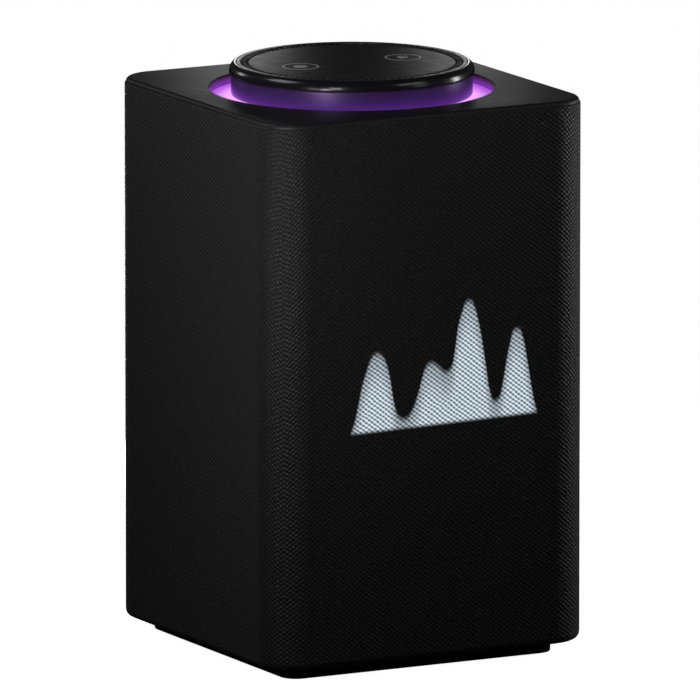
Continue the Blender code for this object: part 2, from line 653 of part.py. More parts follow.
def make_ports():
    low_y, high_y = PORT_PANEL_Y
    half_x, half_z = PORT_PANEL_HALF
    panel = box("port_panel", "black_plastic", (-half_x, low_y, PORT_Z - half_z),
                (half_x, high_y, PORT_Z + half_z))
    start, face = BOARD_Y[1] + GAP, high_y - 0.6
    power_x, video_x, network_x, audio_x = -27.0, -11.0, 10.0, 27.0

    holes = bmesh.new()
    cylinder_into(holes, 5.0 + GAP, (power_x, high_y, PORT_Z), 20, 20, ALONG_Y)
    cylinder_into(holes, 3.8 + GAP, (audio_x, high_y, PORT_Z), 20, 20, ALONG_Y)
    video_half, network_half = (8.4, 3.7), (8.2, 7.2)
    for x, (across, up) in ((video_x, video_half), (network_x, network_half)):
        box_into(holes, (x - across - GAP, low_y - 5, PORT_Z - up - GAP),
                 (x + across + GAP, high_y + 5, PORT_Z + up + GAP))
    boolean(panel, add_cutter("panel_holes", holes))

    length = face - start
    turned("power_jack", "black_plastic",
           [(0, -2), (1.0, -2), (1.0, -10), (3.0, -10), (3.0, 0), (5.0, 0), (5.0, -length), (0, -length)],
           steps=16, location=(power_x, face, PORT_Z), turn=REAR_TURN)
    turned("audio_jack", "black_plastic",
           [(0, -13), (1.8, -13), (1.8, 0), (3.8, 0), (3.8, -length), (0, -length)],
           steps=20, location=(audio_x, face, PORT_Z), turn=REAR_TURN)

    def socket(name, x, outside, inside, depth):
        across, up = outside
        shell = box(name, "steel", (x - across, start, PORT_Z - up), (x + across, face, PORT_Z + up))
        cavity = bmesh.new()
        across, up = inside
        box_into(cavity, (x - across, face - depth, PORT_Z - up), (x + across, face + 5, PORT_Z + up))
        boolean(shell, add_cutter(f"{name}_cavity", cavity))
        return shell

    video = socket("video_socket", video_x, video_half, (7.2, 2.5), 11.0)
    tongue = bmesh.new()
    box_into(tongue, (video_x - 6.0, face - 13, PORT_Z - 0.4), (video_x + 6.0, face - 1.5, PORT_Z + 0.4))
    boolean(video, add_cutter("video_tongue", tongue), "UNION")
    socket("network_socket", network_x, network_half, (6.0, 4.2), 13.0)


make_base()
make_column()
make_cabinet()
make_woofer()
make_small_drivers()
make_radiators()
make_display()
make_top()
make_ring()
make_controls()
make_electronics()
make_ports()
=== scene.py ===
import json
import math

import bmesh
import bpy
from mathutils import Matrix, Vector


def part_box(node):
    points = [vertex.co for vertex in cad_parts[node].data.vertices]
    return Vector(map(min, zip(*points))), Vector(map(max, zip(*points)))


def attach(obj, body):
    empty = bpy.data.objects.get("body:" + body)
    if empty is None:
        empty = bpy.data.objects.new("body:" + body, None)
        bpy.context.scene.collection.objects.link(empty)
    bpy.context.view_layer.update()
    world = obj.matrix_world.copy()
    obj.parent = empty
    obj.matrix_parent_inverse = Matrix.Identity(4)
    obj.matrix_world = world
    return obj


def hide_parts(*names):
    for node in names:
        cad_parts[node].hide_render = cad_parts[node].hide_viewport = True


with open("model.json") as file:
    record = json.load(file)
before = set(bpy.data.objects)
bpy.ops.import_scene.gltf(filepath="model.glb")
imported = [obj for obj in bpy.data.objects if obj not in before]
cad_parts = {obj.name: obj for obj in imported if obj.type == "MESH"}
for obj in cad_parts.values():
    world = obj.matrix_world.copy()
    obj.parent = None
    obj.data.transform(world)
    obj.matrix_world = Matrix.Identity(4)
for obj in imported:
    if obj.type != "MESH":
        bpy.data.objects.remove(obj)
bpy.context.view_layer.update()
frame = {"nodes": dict(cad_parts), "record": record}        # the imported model, which nothing here moves
mm = 0.001
print("frame loaded:", len(frame["nodes"]), "parts")


# small helpers for modelling

def deselectAll():
    if bpy.context.object and bpy.context.object.mode != "OBJECT":
        bpy.ops.object.mode_set(mode="OBJECT")
    bpy.ops.object.select_all(action="DESELECT")


def choose(piece):
    deselectAll()
    piece.select_set(True)
    bpy.context.view_layer.objects.active = piece


def startEdit(piece):
    choose(piece)
    bpy.ops.object.mode_set(mode="EDIT")
    bpy.ops.mesh.select_all(action="DESELECT")


def endEdit():
    bpy.ops.object.mode_set(mode="OBJECT")


def runsAlong(edge, axis):
    return abs((edge.verts[0].co - edge.verts[1].co).normalized()[axis]) > 0.99


def pick(piece, kind, test):
    # selects the faces or edges that pass the test, in edit mode
    bpy.ops.mesh.select_mode(type=kind)
    bpy.ops.mesh.select_all(action="DESELECT")
    mesh = bmesh.from_edit_mesh(piece.data)
    mesh.normal_update()
    found = [item for item in (mesh.faces if kind == "FACE" else mesh.edges) if test(item)]
    for item in found:
        item.select_set(True)
    bmesh.update_edit_mesh(piece.data)
    return len(found)


def applyPlace(piece):
    choose(piece)
    bpy.ops.object.transform_apply(location=True, rotation=True, scale=True)


def applyModifier(piece, kind, **settings):
    choose(piece)
    modifier = piece.modifiers.new(kind.title(), kind)
    for name, value in settings.items():
        setattr(modifier, name, value)
    bpy.ops.object.modifier_apply(modifier=modifier.name)


def addBox(low, high):
    deselectAll()
    low, high = Vector(low), Vector(high)
    bpy.ops.mesh.primitive_cube_add(size=1, location=(low + high) / 2)
    piece = bpy.context.object
    piece.scale = high - low
    applyPlace(piece)
    return piece


def addRod(radius, low, high, centre=(0, 0), sides=64, axis="Z"):
    # a round bar along Z, or along Y where centre is then x and z
    deselectAll()
    middle, turn = (centre[0], centre[1], (low + high) / 2), (0, 0, 0)
    if axis == "Y":
        middle, turn = (centre[0], (low + high) / 2, centre[1]), (math.pi / 2, 0, 0)
    bpy.ops.mesh.primitive_cylinder_add(vertices=sides, radius=radius, depth=high - low,
                                        location=middle, rotation=turn)
    piece = bpy.context.object
    applyPlace(piece)
    return piece


def roundUprights(piece, radius, segments):
    startEdit(piece)
    pick(piece, "EDGE", lambda e: runsAlong(e, 2))
    bpy.ops.mesh.bevel(offset=radius, segments=segments, affect="EDGES")
    endEdit()


def bevelRim(piece, height, size, segments=3, test=None):
    # rounds the edges at one height where a flat face meets a wall
    def onRim(edge):
        if any(abs(v.co.z - height) > 1e-5 for v in edge.verts) or len(edge.link_faces) != 2:
            return False
        first, second = (abs(face.normal.z) for face in edge.link_faces)
        return abs(first - second) > 0.9 and (test is None or test(edge))
    startEdit(piece)
    pick(piece, "EDGE", onRim)
    bpy.ops.mesh.bevel(offset=size, segments=segments, affect="EDGES", clamp_overlap=True)
    endEdit()


def cut(piece, *tools):
    for tool in tools:
        applyModifier(piece, "BOOLEAN", operation="DIFFERENCE", solver="EXACT", object=tool)
        bpy.data.objects.remove(tool)


def turnedRing(profile, segments=128, centre=(0, 0)):
    # a circle is drawn out along the profile of (radius, height), then closed on itself
    radius, height = profile[0]
    deselectAll()
    bpy.ops.mesh.primitive_circle_add(vertices=segments, radius=radius * mm,
                                      location=(centre[0], centre[1], height * mm))
    piece = bpy.context.object
    applyPlace(piece)
    startEdit(piece)
    bpy.ops.mesh.select_mode(type="EDGE")
    bpy.ops.mesh.select_all(action="SELECT")
    for (before, low), (after, high) in zip(profile, profile[1:]):
        bpy.ops.mesh.extrude_edges_move(TRANSFORM_OT_translate={"value": (0, 0, (high - low) * mm)})
        bpy.ops.transform.resize(value=(after / before, after / before, 1),
                                 center_override=(centre[0], centre[1], 0))
    pick(piece, "EDGE", lambda e: e.is_boundary)
    bpy.ops.mesh.bridge_edge_loops()
    bpy.ops.mesh.select_all(action="SELECT")
    bpy.ops.mesh.normals_make_consistent(inside=False)
    endEdit()
    return piece


def joinPieces(pieces):
    deselectAll()
    for piece in pieces:
        piece.select_set(True)
    bpy.context.view_layer.objects.active = pieces[0]
    bpy.ops.object.join()
    return pieces[0]


def finishPiece(piece, name, body, material, replaced=(), smooth=35):
    applyPlace(piece)
    bpy.ops.object.shade_smooth_by_angle(angle=math.radians(smooth))
    applyModifier(piece, "WEIGHTED_NORMAL", keep_sharp=True, weight=60)
    piece.name = piece.data.name = name
    piece.data.materials.clear()
    piece.data.materials.append(material)
    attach(piece, body)
    if replaced:
        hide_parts(*replaced)
    return piece


# small helpers for materials

def addNode(tree, kind, values=None, **settings):
    node = tree.nodes.new("ShaderNode" + kind)
    for name, value in settings.items():
        setattr(node, name, value)
    for name, value in (values or {}).items():
        if isinstance(value, bpy.types.NodeSocket):
            tree.links.new(value, node.inputs[name])
        else:
            node.inputs[name].default_value = value
    return node


def calc(tree, operation, *values):
    return addNode(tree, "Math", dict(enumerate(values)), operation=operation).outputs[0]


def ease(tree, value, low, high, first=0.0, last=1.0):
    node = addNode(tree, "MapRange", {"Value": value, "From Min": low, "From Max": high,
                                      "To Min": first, "To Max": last}, interpolation_type="SMOOTHSTEP")
    return node.outputs["Result"]


def blendColours(tree, share, first, second):
    node = addNode(tree, "Mix", data_type="RGBA")
    for socket, value in ((0, share), (6, first), (7, second)):
        if isinstance(value, bpy.types.NodeSocket):
            tree.links.new(value, node.inputs[socket])
        else:
            node.inputs[socket].default_value = value if socket == 0 else (*value, 1)
    return node.outputs[2]


def objectPlace(tree):
    return addNode(tree, "TexCoord").outputs["Object"]


def newMaterial(name, **constants):
    material = bpy.data.materials.new(name)
    material.use_nodes = True
    tree = material.node_tree
    surface = tree.nodes["Principled BSDF"]
    for label, value in constants.items():
        label = label.replace("_", " ")
        surface.inputs[label].default_value = (*value, 1) if isinstance(value, tuple) else value
    return material, tree, surface


def newGroup(name, inputs, outputs):
    group = bpy.data.node_groups.new(name, "ShaderNodeTree")
    for label, kind, value in inputs:
        socket = group.interface.new_socket(name=label, in_out="INPUT", socket_type="NodeSocket" + kind)
        if value is not None:
            socket.default_value = value
    for label in outputs:
        group.interface.new_socket(name=label, in_out="OUTPUT", socket_type="NodeSocketFloat")
    return group, group.nodes.new("NodeGroupInput").outputs, group.nodes.new("NodeGroupOutput").inputs


def useGroup(tree, group, **values):
    node = addNode(tree, "Group", node_tree=group)
    for label, value in values.items():
        if isinstance(value, bpy.types.NodeSocket):
            tree.links.new(value, node.inputs[label])
        else:
            node.inputs[label].default_value = value
    return node.outputs


def bumpFrom(tree, surface, height, distance, strength=1.0):
    bump = addNode(tree, "Bump", {"Height": height, "Distance": distance, "Strength": strength})
    tree.links.new(bump.outputs[0], surface.inputs["Normal"])


# effects that several finishes share

def makeGrain():
    # fine moulded texture, with broad soft mottling
    group, given, result = newGroup("fineGrain", [("Place", "Vector", None), ("Scale", "Float", 2500.0)],
                                    ["Height", "Mottle"])
    fine = addNode(group, "TexNoise", {"Vector": given["Place"], "Scale": given["Scale"],
                                       "Detail": 3.0})
    broad = addNode(group, "TexNoise", {"Vector": given["Place"], "Scale": 28.0, "Detail": 4.0})
    group.links.new(fine.outputs[0], result["Height"])
    group.links.new(broad.outputs[0], result["Mottle"])
    return group


def makeEdgeWear():
    # edges polished by hands, broken up by noise
    group, given, result = newGroup("edgeWear", [("Place", "Vector", None), ("Sharpness", "Float", 0.06)],
                                    ["Mask"])
    point = addNode(group, "NewGeometry").outputs["Pointiness"]
    rough = addNode(group, "TexNoise", {"Vector": given["Place"], "Scale": 160.0, "Detail": 5.0}).outputs[0]
    start = calc(group, "ADD", 0.5, calc(group, "MULTIPLY", given["Sharpness"], 0.3))
    edge = addNode(group, "MapRange", {"Value": point, "From Min": start,
                                       "From Max": calc(group, "ADD", 0.5, given["Sharpness"])}).outputs[0]
    group.links.new(calc(group, "MULTIPLY", edge, ease(group, rough, 0.3, 0.65)), result["Mask"])
    return group


def makeDust():
    # thin dust lies only on what faces up
    group, given, result = newGroup("dust", [("Place", "Vector", None), ("Amount", "Float", 0.3)], ["Mask"])
    normal = addNode(group, "NewGeometry").outputs["Normal"]
    up = addNode(group, "SeparateXYZ", {"Vector": normal}).outputs["Z"]
    speck = addNode(group, "TexNoise", {"Vector": given["Place"], "Scale": 900.0, "Detail": 4.0}).outputs[0]
    cloud = addNode(group, "TexNoise", {"Vector": given["Place"], "Scale": 45.0, "Detail": 3.0}).outputs[0]
    lying = calc(group, "MULTIPLY", ease(group, up, 0.6, 0.98), ease(group, speck, 0.52, 0.74))
    shown = calc(group, "MULTIPLY", lying, ease(group, cloud, 0.35, 0.7))
    group.links.new(calc(group, "MULTIPLY", shown, given["Amount"]), result["Mask"])
    return group


def makeWeave():
    # a diamond knit: two families of crossing lines whose crossings are the raised stitches
    group, given, result = newGroup("clothWeave", [
        ("Sheet", "Vector", None), ("Columns", "Float", 214.0), ("Rows", "Float", 118.0),
        ("Lean", "Float", 0.5)],
        ["Stitch", "Fibre"])
    axes = addNode(group, "SeparateXYZ", {"Vector": given["Sheet"]}).outputs
    wobble = addNode(group, "TexNoise", {"Vector": given["Sheet"], "Scale": 55.0, "Detail": 2.0}).outputs[0]
    drift = calc(group, "MULTIPLY", calc(group, "SUBTRACT", wobble, 0.5), 0.35)
    across = calc(group, "ADD", calc(group, "MULTIPLY", axes["X"], given["Columns"]), drift)
    along = calc(group, "ADD", calc(group, "MULTIPLY", axes["Y"], given["Rows"]), drift)
    down = calc(group, "COSINE", calc(group, "MULTIPLY", calc(group, "ADD", across, along), math.tau))
    rise = calc(group, "COSINE", calc(group, "MULTIPLY", calc(group, "SUBTRACT", across, along), math.tau))
    mixed = calc(group, "ADD", calc(group, "MULTIPLY", down, given["Lean"]),
                 calc(group, "MULTIPLY", rise, calc(group, "SUBTRACT", 1.0, given["Lean"])))
    group.links.new(calc(group, "MULTIPLY_ADD", mixed, 0.5, 0.5), result["Stitch"])
    even = addNode(group, "Mapping", {"Vector": given["Sheet"], "Scale": (1.0, 0.42, 1.0)}).outputs[0]
    yarn = addNode(group, "TexNoise", {"Vector": even, "Scale": 430.0, "Detail": 4.0,
                                       "Roughness": 0.7}).outputs[0]
    group.links.new(ease(group, yarn, 0.28, 0.72), result["Fibre"])
    return group


fineGrain, edgeWear, dust, clothWeave = makeGrain(), makeEdgeWear(), makeDust(), makeWeave()
print("shared effects ready")


# finishes

def mouldedPlastic(name, colour, worn, roughness=0.45, grain=2500.0, depth=0.00002, dustiness=0.25,
                   wear=0.5, **constants):
    material, tree, surface = newMaterial(name, **constants)
    place = objectPlace(tree)
    texture = useGroup(tree, fineGrain, Place=place, Scale=grain)
    mask = useGroup(tree, edgeWear, Place=place)["Mask"]
    lying = useGroup(tree, dust, Place=place, Amount=dustiness)["Mask"]
    mottled = blendColours(tree, texture["Mottle"], tuple(c * 0.92 for c in colour),
                           tuple(c * 1.08 for c in colour))
    handled = blendColours(tree, calc(tree, "MULTIPLY", mask, wear), mottled, worn)
    tree.links.new(blendColours(tree, lying, handled, (0.25, 0.24, 0.23)), surface.inputs["Base Color"])
    base = ease(tree, texture["Mottle"], 0.2, 0.8, roughness - 0.02, roughness + 0.03)
    polished = calc(tree, "SUBTRACT", base, calc(tree, "MULTIPLY", mask, 0.1))
    tree.links.new(polished, surface.inputs["Roughness"])
    bumpFrom(tree, surface, texture["Height"], depth)
    return material


def metalFinish(name, colour, roughness=0.3, stretch=(60, 60, 2500), depth=0.00001, metallic=1.0):
    material, tree, surface = newMaterial(name, Metallic=metallic)
    place = objectPlace(tree)
    drawn = addNode(tree, "Mapping", {"Vector": place, "Scale": stretch}).outputs[0]
    lines = addNode(tree, "TexNoise", {"Vector": drawn, "Scale": 1.0, "Detail": 4.0}).outputs[0]
    mask = useGroup(tree, edgeWear, Place=place)["Mask"]
    shade = blendColours(tree, lines, tuple(c * 0.8 for c in colour),
                         tuple(min(1, c * 1.15) for c in colour))
    tree.links.new(blendColours(tree, calc(tree, "MULTIPLY", mask, 0.4), shade, (0.8, 0.8, 0.8)),
                   surface.inputs["Base Color"])
    tree.links.new(ease(tree, lines, 0.25, 0.75, roughness - 0.08, roughness + 0.1),
                   surface.inputs["Roughness"])
    bumpFrom(tree, surface, lines, depth)
    return material


def boardFinish(name, colour):
    # solder mask over branching copper tracks
    material, tree, surface = newMaterial(name)
    place = objectPlace(tree)
    cells = addNode(tree, "TexVoronoi", {"Vector": place, "Scale": 260.0}, feature="DISTANCE_TO_EDGE",
                    distance="EUCLIDEAN").outputs["Distance"]
    track = ease(tree, cells, 0.05, 0.09, 1.0, 0.0)
    tree.links.new(blendColours(tree, track, colour, tuple(c * 2.2 + 0.02 for c in colour)),
                   surface.inputs["Base Color"])
    tree.links.new(ease(tree, track, 0.0, 1.0, 0.38, 0.25), surface.inputs["Roughness"])
    bumpFrom(tree, surface, track, 0.00004)
    return material


def clothFinish(name, colour, scale, roughness=0.85):
    # plain pressed or woven fibre, for the drivers' cones, domes and spiders
    material, tree, surface = newMaterial(name, Sheen_Weight=0.25, Sheen_Roughness=0.5)
    place = objectPlace(tree)
    fibre = addNode(tree, "TexNoise", {"Vector": place, "Scale": scale, "Detail": 6.0}).outputs[0]
    pulp = addNode(tree, "TexVoronoi", {"Vector": place, "Scale": scale * 0.6}).outputs["Distance"]
    height = calc(tree, "ADD", fibre, calc(tree, "MULTIPLY", pulp, 0.5))
    dark, pale = tuple(c * 0.7 for c in colour), tuple(c * 1.3 for c in colour)
    tree.links.new(blendColours(tree, fibre, dark, pale), surface.inputs["Base Color"])
    tree.links.new(ease(tree, fibre, 0.2, 0.8, roughness - 0.1, roughness + 0.1),
                   surface.inputs["Roughness"])
    bumpFrom(tree, surface, height, 0.00008)
    return material


def windingFinish():
    # enamelled wire, turn upon turn along Y
    material, tree, surface = newMaterial("copperWinding", Metallic=0.9, Coat_Roughness=0.1)
    depthAlong = addNode(tree, "SeparateXYZ", {"Vector": objectPlace(tree)}).outputs["Y"]
    turns = calc(tree, "SINE", calc(tree, "MULTIPLY", depthAlong, math.tau / (0.3 * mm)))
    tree.links.new(blendColours(tree, ease(tree, turns, -1, 1), (0.30, 0.10, 0.04), (0.78, 0.36, 0.18)),
                   surface.inputs["Base Color"])
    tree.links.new(ease(tree, turns, -1, 1, 0.5, 0.25), surface.inputs["Roughness"])
    bumpFrom(tree, surface, turns, 0.00006)
    return material


def ribbonFinish():
    # flat cable with its conductors side by side
    material, tree, surface = newMaterial("flatCable", Coat_Weight=0.4)
    side = addNode(tree, "SeparateXYZ", {"Vector": objectPlace(tree)}).outputs["X"]
    wires = calc(tree, "SINE", calc(tree, "MULTIPLY", side, math.tau / (1.0 * mm)))
    tree.links.new(blendColours(tree, ease(tree, wires, -0.1, 0.3), (0.78, 0.76, 0.68), (0.52, 0.42, 0.30)),
                   surface.inputs["Base Color"])
    tree.links.new(ease(tree, wires, -1, 1, 0.5, 0.35), surface.inputs["Roughness"])
    bumpFrom(tree, surface, wires, 0.00004)
    return material


# the cloth over the body, with the light matrix glowing through its front

clothLook = {
    "colour": (0.017, 0.017, 0.0185), "gap": (0.0015, 0.0015, 0.0018),
    "perimeter": 534.8, "columns": 214, "rowHeight": 1.85, "thickness": 1.0,
    "half": 70.5, "round": 17.0, "foot": 5.3, "top": 219.25, "wrapTop": 1.3, "wrapBottom": 6.5,
    "window": ((-0.036, 0.060, 0.014), (0.036, 0.080, 0.032)), "windowCorner": 3.0,
    "glow": (0.62, 0.72, 0.80), "brightness": 1.15,
    # the lit shape's upper edge, across the front in mm
    "outline": [(-46, 91), (-39.6, 91), (-38.2, 96.5), (-36.2, 101.8), (-34.4, 109.1), (-32.7, 116.5),
                (-30.9, 121.7), (-29.2, 125.9), (-27.4, 128.2), (-25.6, 128.4), (-23.9, 127.2),
                (-22.1, 123.9), (-20.3, 117.0), (-18.6, 107.7), (-16.8, 102.8), (-15.1, 101.7),
                (-13.3, 101.7), (-11.5, 103.5), (-8.0, 111.5), (-6.2, 117.7), (-4.5, 121.5),
                (-2.7, 122.8), (0.8, 121.1), (4.4, 118.6), (6.1, 119.6), (7.9, 126.0), (9.6, 136.5),
                (11.4, 142.0), (13.2, 145.6), (14.9, 145.9), (16.7, 143.2), (18.5, 137.3),
                (20.3, 128.5), (22.0, 118.4), (23.8, 108.7), (25.6, 105.2), (27.4, 106.0),
                (29.1, 111.4), (30.9, 120.8), (32.7, 128.4), (34.4, 132.7), (36.2, 132.9),
                (38.0, 129.8), (39.8, 122.0), (41.6, 111.9), (43.4, 103.0), (45.0, 97), (45.4, 91)],
    "litFoot": 98.45, "litSlope": 0.0195,
}
clothHeight = clothLook["top"] - clothLook["foot"] + clothLook["wrapTop"] + clothLook["wrapBottom"]


def clothMaterial():
    material, tree, surface = newMaterial("knittedCover", Sheen_Weight=0.10, Sheen_Roughness=0.45,
                                          Specular_IOR_Level=0.6)
    sheet = addNode(tree, "UVMap").outputs["UV"]
    rows = clothHeight / clothLook["rowHeight"]
    knit = useGroup(tree, clothWeave, Sheet=sheet, Columns=clothLook["columns"], Rows=rows, Lean=0.5)
    lines = useGroup(tree, clothWeave, Sheet=sheet, Columns=clothLook["columns"], Rows=rows, Lean=0.64)
    raised = ease(tree, knit["Stitch"], 0.30, 0.85)
    fuzz = calc(tree, "MULTIPLY", calc(tree, "SUBTRACT", knit["Fibre"], 0.5), 1.1)
    fuzzy = calc(tree, "ADD", raised, fuzz)
    tree.links.new(blendColours(tree, fuzzy, clothLook["gap"], clothLook["colour"]),
                   surface.inputs["Base Color"])
    tree.links.new(ease(tree, raised, 0.0, 1.0, 0.75, 0.42), surface.inputs["Roughness"])
    relief = calc(tree, "ADD", knit["Stitch"], calc(tree, "MULTIPLY", knit["Fibre"], 0.35))
    bumpFrom(tree, surface, relief, 0.00028)

    place = addNode(tree, "SeparateXYZ", {"Vector": objectPlace(tree)}).outputs
    across = calc(tree, "DIVIDE", calc(tree, "ADD", place["X"], 0.046), 0.092)
    curve = addNode(tree, "FloatCurve", {"Value": across})
    points = curve.mapping.curves[0].points
    spots = [((x + 46) / 92, (z - 90) / 65) for x, z in clothLook["outline"]]
    for x, z in spots[1:-1]:
        points.new(x, z)
    points[0].location, points[len(points) - 1].location = spots[0], spots[-1]
    curve.mapping.update()
    above = calc(tree, "MULTIPLY_ADD", curve.outputs[0], 0.065, 0.090)
    depth = calc(tree, "SUBTRACT", above, place["Z"])
    footLine = calc(tree, "MULTIPLY_ADD", place["X"], clothLook["litSlope"], clothLook["litFoot"] * mm)
    aboveFoot = calc(tree, "SUBTRACT", place["Z"], footLine)
    inside = calc(tree, "MULTIPLY", ease(tree, depth, -0.0014, 0.0022),
                  ease(tree, aboveFoot, -0.001, 0.001))
    inside = calc(tree, "MULTIPLY", inside, ease(tree, depth, 0.0, 0.016, 0.55, 1.0))
    facing = ease(tree, place["Y"], -0.0685, -0.0695)
    through = calc(tree, "MULTIPLY", facing, ease(tree, lines["Stitch"], 0.14, 0.80, 0.16, 1))
    band = calc(tree, "MULTIPLY", inside, through)
    glow = blendColours(tree, band, (0, 0, 0), clothLook["glow"])
    tree.links.new(glow, surface.inputs["Emission Color"])
    surface.inputs["Emission Strength"].default_value = clothLook["brightness"]
    return material


def sheetPlace(x, y, z):
    # distance round the cover from a corner's start, and height, as if it were unrolled
    half, radius = clothLook["half"], clothLook["round"]
    side, arc = 2 * (half - radius), radius * math.pi / 2
    centres = [(-1, -1), (1, -1), (1, 1), (-1, 1)]
    inner = half - radius
    for index, (sx, sy) in enumerate(centres):
        dx, dy = sx * x - inner, sy * y - inner
        if dx > 0 and dy > 0:
            angle = math.atan2(dy, dx)
            share = angle if sx * sy < 0 else math.pi / 2 - angle
            return index * (side + arc) - arc + arc * (1 - share / (math.pi / 2)), z
    if abs(y) >= abs(x):
        return ((x + inner), z) if y < 0 else (2 * (side + arc) + (inner - x), z)
    return (side + arc + (y + inner), z) if x > 0 else (3 * (side + arc) + (inner - y), z)


def unrollSheet(piece):
    # a UV map that follows the knit round the body, cut once at a corner
    uvs = piece.data.uv_layers.active or piece.data.uv_layers.new(name="sheet")
    total = clothLook["perimeter"]
    for face in piece.data.polygons:
        spots = []
        for loop in face.loop_indices:
            x, y, z = piece.data.vertices[piece.data.loops[loop].vertex_index].co / mm
            u, v = sheetPlace(x, y, z)
            reach = max(abs(x), abs(y))
            inward = max(0, clothLook["half"] - reach)      # how far it has wrapped under or over
            v += clothLook["wrapBottom"] - (inward if z < 6 else 0)
            v += inward if z > clothLook["top"] - 0.8 else 0
            spots.append([loop, u / total % 1, (v - clothLook["foot"]) / clothHeight])
        if max(s[1] for s in spots) - min(s[1] for s in spots) > 0.5:
            for s in spots:
                s[1] += 1 if s[1] < 0.5 else 0
        for loop, u, v in spots:
            uvs.data[loop].uv = (u, v)


def makeCover():
    low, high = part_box("fabric_sleeve")
    high.z = clothLook["top"] * mm
    piece = addBox(low, high)
    roundUprights(piece, clothLook["round"] * mm, 16)
    startEdit(piece)
    for up, wrap in ((1, clothLook["wrapTop"]), (-1, clothLook["wrapBottom"])):
        pick(piece, "FACE", lambda f: f.normal.z * up > 0.9)
        bpy.ops.mesh.inset(thickness=wrap * mm)
        bpy.ops.mesh.delete(type="FACE")
    endEdit()
    bevelRim(piece, high.z, 0.6 * mm, 3)
    bevelRim(piece, low.z, 3.0 * mm, 5)
    startEdit(piece)
    bpy.ops.mesh.select_all(action="SELECT")
    bpy.ops.mesh.normals_make_consistent(inside=False)
    endEdit()
    applyModifier(piece, "SOLIDIFY", thickness=clothLook["thickness"] * mm, offset=-1, use_even_offset=True)
    window = addBox(*clothLook["window"])
    startEdit(window)
    pick(window, "EDGE", lambda e: runsAlong(e, 1))
    bpy.ops.mesh.bevel(offset=clothLook["windowCorner"] * mm, segments=6, affect="EDGES")
    endEdit()
    cut(piece, window)
    unrollSheet(piece)
    finishPiece(piece, "fabricCover", "housing", clothMaterial(), ["fabric_sleeve"], 40)
    return piece


makeCover()
print("fabric cover ready")


# foot, top plate and rear panel

footLook = {"corner": 7.0, "edge": 0.8, "tread": 3.0, "treadDepth": 0.6}
plateLook = {"half": 69.95, "corner": 16.4, "well": 55.8, "rim": 0.7, "edge": 1.6, "under": 219.3,
             "step": 1.4}

rubberFoot = mouldedPlastic("footRubber", (0.012, 0.012, 0.012), (0.05, 0.05, 0.05), 0.75, 1800, 0.00006)
grainedPlastic = mouldedPlastic("topPlatePlastic", (0.016, 0.016, 0.018), (0.10, 0.10, 0.11), 0.5, 2600,
                                0.00002, 0.10, 0.4, Specular_IOR_Level=0.35)


def paintWellWallGlow(material):
    # painted glow: violet emission on the wall of the well stands in for the light that spills up it, and
    # fades out under its rounded rim
    tree = material.node_tree
    surface = tree.nodes["Principled BSDF"]
    place = objectPlace(tree)
    axes = addNode(tree, "SeparateXYZ", {"Vector": place}).outputs
    flat = addNode(tree, "CombineXYZ", {"X": axes["X"], "Y": axes["Y"]}).outputs[0]
    reach = addNode(tree, "VectorMath", {0: flat}, operation="LENGTH").outputs["Value"]
    onWall = calc(tree, "MULTIPLY", ease(tree, reach, 0.0559, 0.0563, 1.0, 0.0),
                  ease(tree, axes["Z"], 0.2172, 0.2209, 1.0, 0.0))
    tree.links.new(blendColours(tree, onWall, (0, 0, 0), (0.15, 0.018, 0.32)),
                   surface.inputs["Emission Color"])
    surface.inputs["Emission Strength"].default_value = 1.0


paintWellWallGlow(grainedPlastic)
innerPlastic = mouldedPlastic("innerPlastic", (0.022, 0.022, 0.024), (0.10, 0.10, 0.10), 0.5, 2000)


def makeFoot():
    low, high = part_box("foot_pad")
    piece = addBox(low, high)
    roundUprights(piece, footLook["corner"] * mm, 8)
    bevelRim(piece, high.z, 0.4 * mm, 2)
    bevelRim(piece, low.z, footLook["edge"] * mm, 3)
    startEdit(piece)
    pick(piece, "FACE", lambda f: f.normal.z < -0.9 and f.calc_area() > 0.005)
    bpy.ops.mesh.inset(thickness=footLook["tread"] * mm)
    bpy.ops.transform.translate(value=(0, 0, footLook["treadDepth"] * mm))
    endEdit()
    finishPiece(piece, "rubberFoot", "housing", rubberFoot, ["foot_pad"])


def makeTopPlate():
    # a slab whose rounded edge rolls down over the top of the cloth, with a narrower body below it
    low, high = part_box("top_plate")
    half, under = plateLook["half"] * mm, plateLook["under"] * mm
    piece = addBox((-half, -half, under), (half, half, high.z))
    roundUprights(piece, plateLook["corner"] * mm, 14)
    startEdit(piece)
    pick(piece, "FACE", lambda f: f.normal.z < -0.9)
    bpy.ops.mesh.inset(thickness=plateLook["step"] * mm)
    bpy.ops.mesh.extrude_region_move(TRANSFORM_OT_translate={"value": (0, 0, low.z - under)})
    endEdit()
    bevelRim(piece, high.z, plateLook["edge"] * mm, 6)
    cut(piece, addRod(plateLook["well"] * mm, low.z - 0.01, high.z + 0.01, sides=192))
    bevelRim(piece, high.z, plateLook["rim"] * mm, 4,
             lambda e: all(v.co.xy.length < (plateLook["well"] + 0.7) * mm for v in e.verts))
    finishPiece(piece, "topPlate", "housing", grainedPlastic, ["top_plate"])


